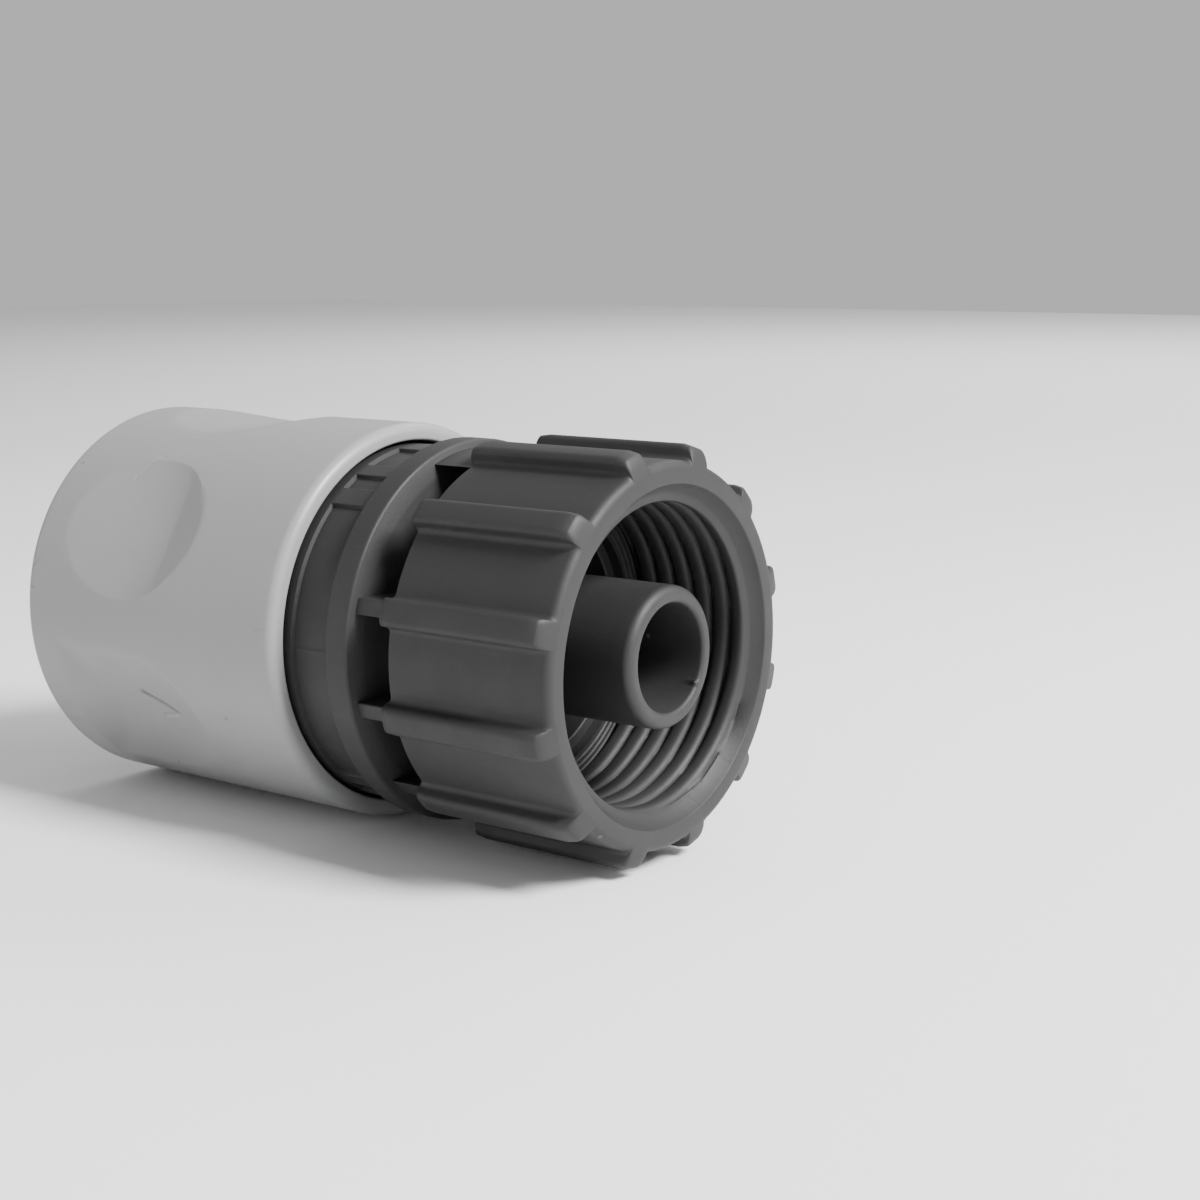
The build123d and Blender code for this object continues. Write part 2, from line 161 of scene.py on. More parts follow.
PARTING_ANGLES = (0.0, 179.8)

# Socket barrel
BARREL_SUNK = 0.5
BARREL_R = 13.0
BARREL_REAR = -55.3
SEAL_R = 8.0
SEAL_REAR = -37.9
SOCKET_CHAMFER = 1.6
SOCKET_R = 10.6
WINDOW_FRONT = -45.45
WINDOW_REAR = -48.95
WINDOW_HALF_WIDTH = 2.45
WINDOW_COUNT = 4

# Sleeve
SLEEVE_R = 17.25
SLEEVE_FRONT = -27.25
SLEEVE_REAR = -58.65
SLEEVE_BORE_R = 15.75
SLEEVE_RIM_ROUND = 0.85
SLEEVE_REAR_ROUND = 0.9
SLEEVE_INNER_ROUND = 0.25
SPRING_STEP = -37.0
SPRING_ROOM_R = 15.3
LAND_FRONT = -43.2
LAND_REAR = -52.2
LAND_R = 13.2
SLEEVE_REAR_BORE_R = 15.3

# Return spring
SPRING_WIRE_R = 0.55
SPRING_MEAN_R = 14.5
SPRING_TURNS = 3.5
SPRING_REAR = -43.15
SPRING_FRONT = -32.2
SPRING_START_ANGLE = -90

# Finger dimples
DIMPLE_COUNT = 6
DIMPLE_PHASE = 30.0
DIMPLE_DEPTH = 1.05
DIMPLE_HALF_ANGLE = 22.5
DIMPLE_REAR = -54.6
DIMPLE_HALF_LENGTH = 8.3
DIMPLE_CREASE = 0.5
DIMPLE_LEAN = 0.6
DIMPLE_SOFTNESS = 0.05
DIMPLE_REACH = 1.25
ARROW_DIMPLES = (0, 3)
ARROW_WALL_RUN = 4.6

# The engraved arrow: each line is its start and end as (station, angle), its depth and its half width
ARROW_LINES = (
    ((-47.7, 204.8), (-45.9, 204.8), 0.12, 0.15),
    ((-45.7, 201.6), (-41.2, 207.3), 0.3, 0.22),
    ((-43.9, 210.0), (-41.3, 207.5), 0.12, 0.2),
)

# Marks that the mould and use left on the sleeve, on the side that the photo shows: each is a chain of
# (station, angle) points, a depth and a half width
SLEEVE_MARKS = (
    (((-49.1, 135.6), (-49.4, 133.4), (-48.7, 131.6), (-48.3, 128.7), (-47.8, 125.8), (-47.1, 126.5)),
     0.035, 0.1),
    (((-29.2, 174.6), (-28.3, 174.4)), 0.06, 0.1),
    (((-52.3, 116.2), (-52.2, 116.6)), 0.08, 0.12),
    (((-58.0, 166.1), (-57.7, 164.5), (-57.2, 163.1)), 0.08, 0.12),
    (((-58.1, 172.0), (-57.4, 172.4)), 0.08, 0.12),
)
LINE_FLANK = 1.3

# ANY lies past every station and radius. The other two are how far off a radius may be and still count as
# the wanted one.
ANY = 99.0
EXACT = 1e-6
ON_WALL = 0.01

# How finely the meshes are cut: steps, spans and gaps in millimetres or degrees, and sides or parts as counts
CORNER_PARTS = 6
RIB_ROUND_PARTS = 5
RING_PLAIN_PARTS = 8
RING_RIM_BAND = 0.1
RING_STEP = 0.8
RIB_FRONT_SPAN = 1.6
RIB_FRONT_STEP = 0.08
RIB_BACK_SPAN = 0.6
RIB_BACK_STEP = 0.07
THREAD_STEP = 0.12
SPIGOT_SIDES = 128
SPIGOT_STEP = 0.8
WEB_PARTS = 8
WEB_BEVEL_PARTS = 3
MERGE_GAP = 0.001
SKIRT_SIDES = 180
SKIRT_STEP = 0.8
SKIRT_FINE_SPAN = 0.3
SKIRT_FINE_STEP = 0.06
CLOSE_STEPS = (-0.45, -0.3, -0.15, 0.0, 0.15, 0.3, 0.45)
CLOSE_GAP = 0.6
BARREL_SIDES = 96
BARREL_GAP = 1.5
SLEEVE_SIDES = 240
SLEEVE_CORNER_PARTS = 8
SLEEVE_RIM_BAND = 0.05
SLEEVE_STEP = 0.3
FINE_STATIONS = (-50.0, -40.2)
FINE_STATION_STEP = 0.1
FINE_ANGLES = ((125.0, 136.5), (163.0, 175.0), (199.2, 211.2))
FINE_ANGLE_MARGIN = 0.5
FINE_ANGLE_STEP = 0.3
SPRING_STEPS = 168
SPRING_SIDES = 12


def link(name, data):
    """A shown object from a mesh, a lamp or a camera."""
    made = bpy.data.objects.new(name, data)
    bpy.context.scene.collection.objects.link(made)
    return made


def finish_mesh(bm, name, sharp=32.0):
    """Turns a bmesh into a smooth piece whose edges stay crisp past the given angle."""
    bmesh.ops.recalc_face_normals(bm, faces=bm.faces)
    mesh = bpy.data.meshes.new(name)
    bm.to_mesh(mesh)
    bm.free()
    mesh.shade_smooth()
    mesh.set_sharp_from_angle(angle=math.radians(sharp))
    return link(name, mesh)


def lathe(name, profile, angles, shape=None, sharp=32.0):
    """A closed ring of quads: the profile's (station, radius) points turned through the angles.

    shape takes the arrays of stations, radii and angles, and returns the stations and radii as they end up.
    """
    outline = np.array(profile, float)
    stations, turns = np.meshgrid(outline[:, 0], np.array(angles, float), indexing="ij")
    radii = np.repeat(outline[:, 1][:, None], len(angles), axis=1)
    if shape:
        stations, radii = shape(stations, radii, turns)
    bend = np.radians(turns)
    points = np.stack([stations, radii * np.cos(bend), radii * np.sin(bend)], axis=-1) * MM
    bm = bmesh.new()
    rows = [[bm.verts.new(tuple(p)) for p in row] for row in points]
    count, around = len(rows), len(angles)
    for i in range(count):
        here, there = rows[i], rows[(i + 1) % count]
        for j in range(around):
            k = (j + 1) % around
            bm.faces.new((here[j], here[k], there[k], there[j]))
    return finish_mesh(bm, name, sharp)


def corner(before, at, after, radius, steps):
    """Points of a round put on the corner at, between its two neighbours."""
    a, p, b = (np.array(v, float) for v in (before, at, after))
    to_a = (a - p) / np.linalg.norm(a - p)
    to_b = (b - p) / np.linalg.norm(b - p)
    half = math.acos(float(np.clip(np.dot(to_a, to_b), -1, 1))) / 2
    middle = (to_a + to_b) / np.linalg.norm(to_a + to_b)
    centre = p + middle * radius / math.sin(half)
    start = p + to_a * radius / math.tan(half) - centre
    end = p + to_b * radius / math.tan(half) - centre
    points = []
    for step in range(steps + 1):
        t = step / steps
        arm = start * (1 - t) + end * t
        points.append(tuple(centre + arm / np.linalg.norm(arm) * radius))
    return points


def rounded(corners, steps=CORNER_PARTS):
    """A closed outline from (station, radius, round) corners."""
    outline = []
    total = len(corners)
    for i, (x, r, edge) in enumerate(corners):
        if edge:
            before, after = corners[i - 1][:2], corners[(i + 1) % total][:2]
            outline += corner(before, (x, r), after, edge, steps)
        else:
            outline.append((x, r))
    return outline


def fill(outline, stretches):
    """The closed outline with its long gaps divided.

    A stretch is (from x, back to x, least r, most r, step). A gap takes the least step of those it lies in.
    """
    dense = []
    total = len(outline)
    for i, here in enumerate(outline):
        there = outline[(i + 1) % total]
        dense.append(here)
        length = math.dist(here, there)
        middle = ((here[0] + there[0]) / 2, (here[1] + there[1]) / 2)
        steps = [s for x0, x1, r0, r1, s in stretches if x1 <= middle[0] <= x0 and r0 <= middle[1] <= r1]
        if not steps:
            continue
        parts = max(1, round(length / min(steps)))
        for part in range(1, parts):
            t = part / parts
            dense.append((here[0] + (there[0] - here[0]) * t, here[1] + (there[1] - here[1]) * t))
    return dense


def add_stations(outline, radius, stations):
    """The outline with more points on its straight run at a radius."""
    run = [i for i, p in enumerate(outline) if abs(p[1] - radius) < EXACT]
    first, last = run[0], run[-1]
    added = [(x, radius) for x in stations if outline[last][0] < x < outline[first][0]]
    dense = sorted(set(outline[first:last + 1] + added), reverse=True)
    return outline[:first] + dense + outline[last + 1:]


def smooth(value):
    """A soft step from 0 to 1."""
    t = np.clip(value, 0, 1)
    return t * t * (3 - 2 * t)


def between(a, b):
    """The angle from b to a, between -180 and 180."""
    return (a - b + 180) % 360 - 180


def around(count):
    """Even angles."""
    return [360 * i / count for i in range(count)]


# Ring with grip ribs and thread


def rib_section():
    """One rib with its fillets as (arc length from the rib's middle, height) points."""
    tip, root = [], []
    foot = RIB_HALF_WIDTH + RIB_ROOT_ROUND
    for step in range(RIB_ROUND_PARTS + 1):
        bend = math.radians(90 * step / RIB_ROUND_PARTS)
        tip.append((RIB_HALF_WIDTH - RIB_TIP_ROUND * (1 - math.sin(bend)),
                    RIB_HEIGHT - RIB_TIP_ROUND * (1 - math.cos(bend))))
        root.append((foot - RIB_ROOT_ROUND * math.cos(bend), RIB_ROOT_ROUND * (1 - math.sin(bend))))
    right = tip + root
    left = [(-s, h) for s, h in reversed(right)]
    return left + [(0.0, RIB_HEIGHT)] + right


def ring_angles():
    """The angles of the ring's mesh, and the rib's height at each."""
    angles, heights = [], []
    step = 360 / RIB_COUNT
    section = sorted(rib_section(), key=lambda p: p[0])
    half_rib = math.degrees(section[-1][0] / RING_R)
    plain = step - 2 * half_rib
    for index in range(RIB_COUNT):
        middle = RIB_PHASE + index * step
        for s, h in section:
            angles.append(middle + math.degrees(s / RING_R))
            heights.append(h)
        for part in range(1, RING_PLAIN_PARTS):
            angles.append(middle + half_rib + plain * part / RING_PLAIN_PARTS)
            heights.append(0.0)
    return np.array(angles), np.array(heights)


def lip_grooves(face):
    """The corners of the fine turned grooves in the lip behind the thread."""
    wide, floor = LIP_GROOVE_HALF_WIDTH, LIP_GROOVE_HALF_FLOOR
    corners = []
    for middle in LIP_GROOVES:
        for step, depth in ((-wide, 0.0), (-floor, LIP_GROOVE_DEPTH), (floor, LIP_GROOVE_DEPTH), (wide, 0.0)):
            corners.append((face - depth, middle + step, 0))
    return corners


def rib_rise(x, heights):
    """How far the ribs stand out of the ring, with their rounded ends."""
    front = np.clip((-RIB_START - x) / RIB_END_ROUND, 0, 1)
    back = np.clip((x + RING_LENGTH + RIB_BACK_SHOULDER) / RIB_BACK_ROUND, 0, 1)
    ends = np.sqrt(1 - (1 - front) ** 2) * np.sqrt(1 - (1 - back) ** 2)
    return heights * ends


def rib_overrun(x, heights):
    """How far the ribs run past the ring's rear face."""
    along = smooth((-RING_LENGTH + RIB_OVERRUN_RUN - x) / RIB_OVERRUN_RUN)
    return RIB_OVERRUN * smooth(heights / RIB_OVERRUN_FULL_HEIGHT) * along


def thread_rise(x, a):
    """How far the thread's turns stand in from its root."""
    phase = (x / THREAD_PITCH - a / 360 + THREAD_SHIFT) % 1.0
    flank = np.abs(phase - 0.5) * 2
    ridge = np.sqrt(1 - np.clip(flank + THREAD_ROOT_FLAT, 0, 1) ** (2 / THREAD_GROOVE))
    ends = smooth((-MOUTH_DEPTH - x) / THREAD_RUN_IN) * smooth((x + THREAD_END) / THREAD_RUN_OUT)
    return (THREAD_ROOT_R - THREAD_CREST_R) * ridge * ends


def make_ring():
    """The threaded ring with its grip ribs."""
    angles, heights = ring_angles()
    rear = -RING_LENGTH
    end = -THREAD_END
    rim_r = RING_R - RING_RIM_BAND
    corners = [
        (0, MOUTH_R, MOUTH_EDGE),
        (0, RING_R, RING_EDGE),
        (rear, RING_R, RING_REAR_EDGE),
        (rear, LIP_R, LIP_EDGE),
        (end - LIP_STEP, LIP_R, LIP_EDGE),
        (end - LIP_STEP, LIP_R + LIP_STEP, 0),
        (end, LIP_R + LIP_STEP, 0),
        *lip_grooves(end),
        (end, THREAD_ROOT_R, 0),
        (-MOUTH_DEPTH, THREAD_ROOT_R, 0),
    ]
    outline = fill(rounded(corners), [
        (0, rear, rim_r, ANY, RING_STEP),
        (0, -RIB_FRONT_SPAN, rim_r, ANY, RIB_FRONT_STEP),
        (rear + RIB_BACK_SPAN, rear, rim_r, ANY, RIB_BACK_STEP),
        (0, end, THREAD_ROOT_R - ON_WALL, THREAD_ROOT_R + ON_WALL, THREAD_STEP),
    ])

    def shape(x, r, a):
        outside = r > RING_R - RING_EDGE - ON_WALL
        bore = np.abs(r - THREAD_ROOT_R) < ON_WALL
        ribbed = np.where(outside, r + rib_rise(x, heights), r)
        threaded = np.where(bore, ribbed - thread_rise(x, a), ribbed)
        return np.where(outside, x - rib_overrun(x, heights), x), threaded

    return lathe("ring", outline, angles, shape, sharp=50.0)


def spigot_angles():
    """Even angles, with close ones where the flash is."""
    clear = FLASH_HALF_ANGLE + FLASH_ANGLE_MARGIN
    plain = [a for a in around(SPIGOT_SIDES) if abs(between(a, FLASH_AT)) > clear]
    steps = range(-FLASH_ANGLE_STEPS, FLASH_ANGLE_STEPS + 1)
    return sorted(plain + [(FLASH_AT + step * FLASH_ANGLE_STEP) % 360 for step in steps])


def make_spigot():
    """The spigot, with a scrap of flash on the edge of its bore."""
    boss_x = -RING_LENGTH + SPIGOT_BOSS_LENGTH
    root_x = FLANGE_FRONT - SPIGOT_SUNK
    corners = [
        (SPIGOT_PROUD, SPIGOT_BORE_R, SPIGOT_BORE_EDGE),
        (SPIGOT_PROUD, SPIGOT_R, SPIGOT_ROUND),
        (boss_x, SPIGOT_R, SPIGOT_BOSS_ROOT),
        (boss_x, SPIGOT_BOSS_R, SPIGOT_BOSS_EDGE),
        (root_x, SPIGOT_BOSS_R, 0),
        (root_x, SPIGOT_BORE_R, 0),
    ]
    outline = fill(rounded(corners), [(ANY, -RING_LENGTH, 0, ANY, SPIGOT_STEP)])

    def shape(x, r, a):
        edge = smooth((x + FLASH_BACK) / FLASH_RUN) * (r < SPIGOT_BORE_R + FLASH_BAND)
        ragged = 1 + FLASH_RAGGEDNESS * np.sin(np.radians(a * FLASH_RAGGED_TURNS))
        flash = FLASH_HEIGHT * ragged * smooth(1 - np.abs(between(a, FLASH_AT)) / FLASH_HALF_ANGLE)
        return x, r - flash * edge

    return lathe("spigot", outline, spigot_angles(), shape)


def web_outline(y0, y1, z0, z1):
    """A web's section across the axis, with its outer ends on the ring's own radius."""
    def reach(z):
        return math.sqrt(max(RING_R ** 2 - z ** 2, 0))
    points = []
    for side, y in ((1, y1), (-1, y0)):
        for part in range(WEB_PARTS + 1):
            z = z0 + (z1 - z0) * part / WEB_PARTS
            z = z if side > 0 else z1 + z0 - z
            points.append((side * min(abs(y), reach(z)) if y else 0.0, z))
    return points


def make_web(name, y0, y1, z0, z1):
    """A web from the ring to the flange, sunk a little into both."""
    outline = web_outline(y0, y1, z0, z1)
    front_x = -RING_LENGTH + WEB_SUNK
    rear_x = FLANGE_FRONT - WEB_SUNK
    bm = bmesh.new()
    front = [bm.verts.new(Vector((front_x, y, z)) * MM) for y, z in outline]
    rear = [bm.verts.new(Vector((rear_x, y, z)) * MM) for y, z in outline]
    bm.faces.new(front)
    bm.faces.new(list(reversed(rear)))
    for i in range(len(outline)):
        k = (i + 1) % len(outline)
        bm.faces.new((front[i], rear[i], rear[k], front[k]))
    bmesh.ops.remove_doubles(bm, verts=bm.verts, dist=MERGE_GAP * MM)
    piece = finish_mesh(bm, name)
    bevel = piece.modifiers.new("edges", "BEVEL")
    bevel.width = WEB_BEVEL * MM
    bevel.segments = WEB_BEVEL_PARTS
    bevel.limit_method = "ANGLE"
    bevel.angle_limit = math.radians(WEB_BEVEL_FROM)
    return piece


def make_webs():
    """The six webs: a middle, an outer and a cap one on each side of the axis."""
    half = WEB_THICKNESS / 2
    webs = []
    for side in (-1, 1):
        name = "low" if side < 0 else "high"
        middle, outer = side * MIDDLE_WEB_Z, side * OUTER_WEB_Z
        cap = sorted((side * CAP_WEB_Z, side * (RING_R - CAP_WEB_BELOW)))
        outer_y = (-RING_R, 0.0) if side < 0 else (0.0, RING_R)
        webs.append(make_web(f"web_middle_{name}", -RING_R, RING_R, middle - half, middle + half))
        webs.append(make_web(f"web_outer_{name}", *outer_y, outer - half, outer + half))
        webs.append(make_web(f"web_cap_{name}", -RING_R, RING_R, *cap))
    return webs


def skirt_recesses():
    """Every recess in the skirt as (middle angle, half angle, depth)."""
    recesses = []
    for side in (0, 180):
        recesses.append((side, PANEL_HALF_ANGLE, PANEL_DEPTH))
        for near, far in POCKETS:
            for hand in (-1, 1):
                recesses.append((side + 90 + hand * (near + far) / 2, (far - near) / 2, POCKET_DEPTH))
    return recesses


def skirt_angles():
    """Even angles, with close ones at every recess's ends and at the parting lines."""
    lines = list(PARTING_ANGLES)
    for middle, half, _ in skirt_recesses():
        lines += [middle - half, middle + half]
    close = [(line + step) % 360 for line in lines for step in CLOSE_STEPS]
    plain = [a for a in around(SKIRT_SIDES) if all(abs(between(a, c)) > CLOSE_GAP for c in close)]
    return sorted(close + plain)


def recess_depth(x, a):
    """How deep the skirt's panels and pockets go, from the flange back to their step."""
    lengthwise = smooth((x - SKIRT_STEP_X) / SKIRT_STEP_RUN)
    depth = np.zeros(x.shape)
    for middle, half, deep in skirt_recesses():
        inside = smooth((half - np.abs(between(a, middle)) + RECESS_EDGE / 2) / RECESS_EDGE)
        depth = np.maximum(depth, deep * inside * lengthwise)
    return depth


def parting_rise(a):
    """How far the mould's parting lines stand out of the skirt."""
    rise = np.zeros(a.shape)
    for line in PARTING_ANGLES:
        near = smooth(PARTING_FLANK - np.abs(between(a, line)) / PARTING_HALF_ANGLE)
        rise = np.maximum(rise, PARTING_HEIGHT * near)
    return rise


def make_skirt():
    """The skirt behind the ring, with the domed flange in front of it."""
    corners = [
        (FLANGE_FRONT + DOME_HEIGHT, SPIGOT_BORE_R, 0),
        (FLANGE_FRONT + DOME_HEIGHT, FLANGE_R - DOME_FROM_RIM, DOME_ROUND),
        (FLANGE_FRONT + DOME_SHOULDER_HEIGHT, FLANGE_R - DOME_SHOULDER_FROM_RIM, DOME_ROUND),
        (FLANGE_FRONT, FLANGE_R, FLANGE_ROUND),
        (FLANGE_REAR, FLANGE_R, FLANGE_REAR_EDGE),
        (FLANGE_REAR, SKIRT_R, 0),
        (SKIRT_REAR, SKIRT_R, SKIRT_REAR_EDGE),
        (SKIRT_REAR, SEAL_R, 0),
        (BULKHEAD_REAR, SEAL_R, 0),
        (BULKHEAD_REAR, SPIGOT_BORE_R, 0),
    ]
    outline = fill(rounded(corners), [
        (FLANGE_REAR, SKIRT_REAR, SKIRT_R - ON_WALL, SKIRT_R + ON_WALL, SKIRT_STEP),
    ])
    fine = np.arange(SKIRT_STEP_X - SKIRT_FINE_SPAN, SKIRT_STEP_X + SKIRT_FINE_SPAN, SKIRT_FINE_STEP)
    outline = add_stations(outline, SKIRT_R, fine)

    def shape(x, r, a):
        wall = np.abs(r - SKIRT_R) < ON_WALL
        return x, np.where(wall, r - recess_depth(x, a) + parting_rise(a), r)

    return lathe("skirt", outline, skirt_angles(), shape, sharp=60.0)


def make_barrel():
    """The socket barrel behind the skirt, with a window for each claw.

    The windows' sides are radial, so they narrow towards the bore, where the claws' stems run into them.
    """
    front = SKIRT_REAR + BARREL_SUNK
    stations = [front, SEAL_REAR, SEAL_REAR - SOCKET_CHAMFER, WINDOW_FRONT, WINDOW_REAR, BARREL_REAR]
    inner = [SEAL_R, SEAL_R, SOCKET_R, SOCKET_R, SOCKET_R, SOCKET_R]
    half = math.degrees(WINDOW_HALF_WIDTH / BARREL_R)
    edges = [(middle + side * half) % 360 for middle in around(WINDOW_COUNT) for side in (-1, 1)]
    plain = [a for a in around(BARREL_SIDES) if all(abs(between(a, e)) > BARREL_GAP for e in edges)]
    angles = sorted(edges + plain)
    bend = [math.radians(a) for a in angles]
    bm = bmesh.new()

    def row(x, r):
        return [bm.verts.new(Vector((x, r * math.cos(b), r * math.sin(b))) * MM) for b in bend]

    outside = [row(x, BARREL_R) for x in stations]
    inside = [row(x, r) for x, r in zip(stations, inner)]
    total = len(angles)
    window_row = stations.index(WINDOW_FRONT)

    def open_cell(i, j):
        if i != window_row:
            return False
        middle = angles[j] + between(angles[(j + 1) % total], angles[j]) / 2
        return abs(between(WINDOW_COUNT * middle, 0)) / WINDOW_COUNT < half

    for i in range(len(stations) - 1):
        for j in range(total):
            k = (j + 1) % total
            if open_cell(i, j):
                if not open_cell(i, j - 1):
                    bm.faces.new((outside[i][j], outside[i + 1][j], inside[i + 1][j], inside[i][j]))
                if not open_cell(i, k):
                    bm.faces.new((outside[i][k], outside[i + 1][k], inside[i + 1][k], inside[i][k]))
                for n in (i, i + 1):
                    bm.faces.new((outside[n][j], outside[n][k], inside[n][k], inside[n][j]))
                continue
            bm.faces.new((outside[i][j], outside[i][k], outside[i + 1][k], outside[i + 1][j]))
            bm.faces.new((inside[i][j], inside[i + 1][j], inside[i + 1][k], inside[i][k]))
    for n in (0, len(stations) - 1):
        for j in range(total):
            k = (j + 1) % total
            bm.faces.new((outside[n][j], outside[n][k], inside[n][k], inside[n][j]))
    return finish_mesh(bm, "socket_barrel")


# Sleeve with finger dimples


def soft_least(a, b, softness):
    """The lesser of two depths, with their crease rounded."""
    return (a + b - np.sqrt((a - b) ** 2 + softness ** 2)) / 2


def dimple_depth(x, a):
    """How deep the finger dimples go at each place on the sleeve."""
    depth = np.zeros(x.shape)
    along = (x - DIMPLE_REAR - DIMPLE_HALF_LENGTH) / DIMPLE_HALF_LENGTH
    near = np.abs(along) < DIMPLE_REACH
    for index in range(DIMPLE_COUNT):
        middle = DIMPLE_PHASE + index * 360 / DIMPLE_COUNT
        across = between(a, middle) / DIMPLE_HALF_ANGLE
        if index in ARROW_DIMPLES:
            floor = DIMPLE_DEPTH * (1 - np.maximum(along, 0) ** 2 - across ** 2)
            wall = DIMPLE_DEPTH * (x - DIMPLE_REAR) / ARROW_WALL_RUN
        else:
            lean = DIMPLE_DEPTH / (1 - DIMPLE_CREASE ** 2) * np.exp(DIMPLE_LEAN * (along - DIMPLE_CREASE))
            floor = lean * (1 - along ** 2 - across ** 2)
            wall = DIMPLE_DEPTH / (1 - DIMPLE_CREASE) * (1 - along - across ** 2 / (1 + DIMPLE_CREASE))
        bowl = soft_least(floor, wall, DIMPLE_SOFTNESS)
        depth = np.maximum(depth, np.where(near, bowl, 0))
    return depth


def line_depth(x, a, start, end, deep, half_width):
    """How deep a straight engraved line between two (station, angle) points goes."""
    (x0, a0), (x1, a1) = start, end
    arc = math.radians(SLEEVE_R)
    along, across = x1 - x0, (a1 - a0) * arc
    dx, ds = x - x0, between(a, a0) * arc
    t = np.clip((dx * along + ds * across) / (along ** 2 + across ** 2), 0, 1)
    away = np.hypot(dx - t * along, ds - t * across)
    return deep * smooth((half_width * LINE_FLANK - away) / half_width)


def engraved_depth(x, a):
    """The arrow that shows which way the sleeve slides, on both sides, and the marks on one side."""
    depth = np.zeros(x.shape)
    for start, end, deep, half_width in ARROW_LINES:
        for turn in (0, 180):
            depth = np.maximum(depth, line_depth(x, a - turn, start, end, deep, half_width))
    for chain, deep, half_width in SLEEVE_MARKS:
        for start, end in zip(chain, chain[1:]):
            depth = np.maximum(depth, line_depth(x, a, start, end, deep, half_width))
    return depth


def sleeve_angles():
    """Even angles, with close ones where the arrow and the marks are."""
    low, high = FINE_ANGLES[-1]
    spans = [*FINE_ANGLES, (low - 180, high - 180)]
    angles = []
    for a in around(SLEEVE_SIDES):
        if all(not low - FINE_ANGLE_MARGIN < a < high + FINE_ANGLE_MARGIN for low, high in spans):
            angles.append(a)
    for low, high in spans:
        angles += list(np.arange(low, high + FINE_ANGLE_STEP / 2, FINE_ANGLE_STEP))
    return sorted(angles)


def make_sleeve():
    """The release sleeve, with its dimples and marks outside and its steps inside.

    Its land is plain, without the ramps for the claws, so the claws' heads stand in it.
    """
    corners = [
        (SLEEVE_FRONT, SLEEVE_BORE_R, SLEEVE_INNER_ROUND),
        (SLEEVE_FRONT, SLEEVE_R, SLEEVE_RIM_ROUND),
        (SLEEVE_REAR, SLEEVE_R, SLEEVE_REAR_ROUND),
        (SLEEVE_REAR, SLEEVE_REAR_BORE_R, SLEEVE_INNER_ROUND),
        (LAND_REAR, SLEEVE_REAR_BORE_R, 0),
        (LAND_REAR, LAND_R, 0),
        (LAND_FRONT, LAND_R, 0),
        (LAND_FRONT, SPRING_ROOM_R, 0),
        (SPRING_STEP, SPRING_ROOM_R, 0),
        (SPRING_STEP, SLEEVE_BORE_R, 0),
    ]
    outline = fill(rounded(corners, SLEEVE_CORNER_PARTS), [
        (SLEEVE_FRONT, SLEEVE_REAR, SLEEVE_R - SLEEVE_RIM_BAND, ANY, SLEEVE_STEP),
    ])
    outline = add_stations(outline, SLEEVE_R, np.arange(*FINE_STATIONS, FINE_STATION_STEP))

    def shape(x, r, a):
        outside = r > SLEEVE_R - ON_WALL
        return x, np.where(outside, r - dimple_depth(x, a) - engraved_depth(x, a), r)

    return lathe("release_sleeve", outline, sleeve_angles(), shape, sharp=40.0)


def make_spring():
    """The spring's wire as a closed tube along a helix."""
    rear, front = SPRING_REAR + SPRING_WIRE_R, SPRING_FRONT - SPRING_WIRE_R
    bends = [math.radians(a) for a in around(SPRING_SIDES)]
    bm = bmesh.new()
    rows = []
    for step in range(SPRING_STEPS + 1):
        t = step / SPRING_STEPS
        turn = math.radians(360 * SPRING_TURNS * t + SPRING_START_ANGLE)
        row = []
        for bend in bends:
            x = rear + (front - rear) * t + SPRING_WIRE_R * math.sin(bend)
            r = SPRING_MEAN_R + SPRING_WIRE_R * math.cos(bend)
            row.append(bm.verts.new(Vector((x, r * math.cos(turn), r * math.sin(turn))) * MM))
        rows.append(row)
    for here, there in zip(rows, rows[1:]):
        for side in range(SPRING_SIDES):
            k = (side + 1) % SPRING_SIDES
            bm.faces.new((here[side], here[k], there[k], there[side]))
    bm.faces.new(rows[0])
    bm.faces.new(rows[-1])
    return finish_mesh(bm, "coil_spring")


# Materials: patterns have about as many features to the metre as their scale, and tones run from 0 to 1

FLOW_SCALE = 90.0
FLOW_STRETCH = 0.35
FLECK_SCALE = 260.0
FLECK_EDGE = (0.035, 0.06)
FLECK_PATCH_SCALE = 120.0
FLECK_PATCH_EDGE = (0.5, 0.56)
SHEEN_SCALE = 260.0
SHEEN_BELOW = 0.05
SHEEN_ABOVE = 0.06
SKIN_SCALE = 3800.0
SKIN_HEIGHT = 0.00003
NOISE_ROUGHNESS = 0.55
WIRE_SCALE = 900.0
WIRE_TONES = (0.42, 0.62)
WIRE_ROUGHNESS = (0.24, 0.42)
PATTERN_BAND = (0.3, 0.7)


def node(tree, kind, **values):
    """A new node, with its inputs or its own settings set by name."""
    made = tree.nodes.new(kind)
    for name, value in values.items():
        if name in made.inputs:
            made.inputs[name].default_value = value
        else:
            setattr(made, name, value)
    return made


def grey(value):
    return (value, value, value)


def ramp(tree, factor, places, colours):
    """The factor turned into a blend from one colour, at the first place, to another at the second."""
    made = tree.nodes.new("ShaderNodeValToRGB")
    for element, place, colour in zip(made.color_ramp.elements, places, colours):
        element.position = place
        element.color = (*colour, 1)
    tree.links.new(factor, made.inputs["Fac"])
    return made.outputs["Color"]


def noise(tree, where, scale, detail=4.0):
    made = node(tree, "ShaderNodeTexNoise", Scale=scale, Detail=detail, Roughness=NOISE_ROUGHNESS)
    tree.links.new(where, made.inputs["Vector"])
    return made.outputs["Fac"]


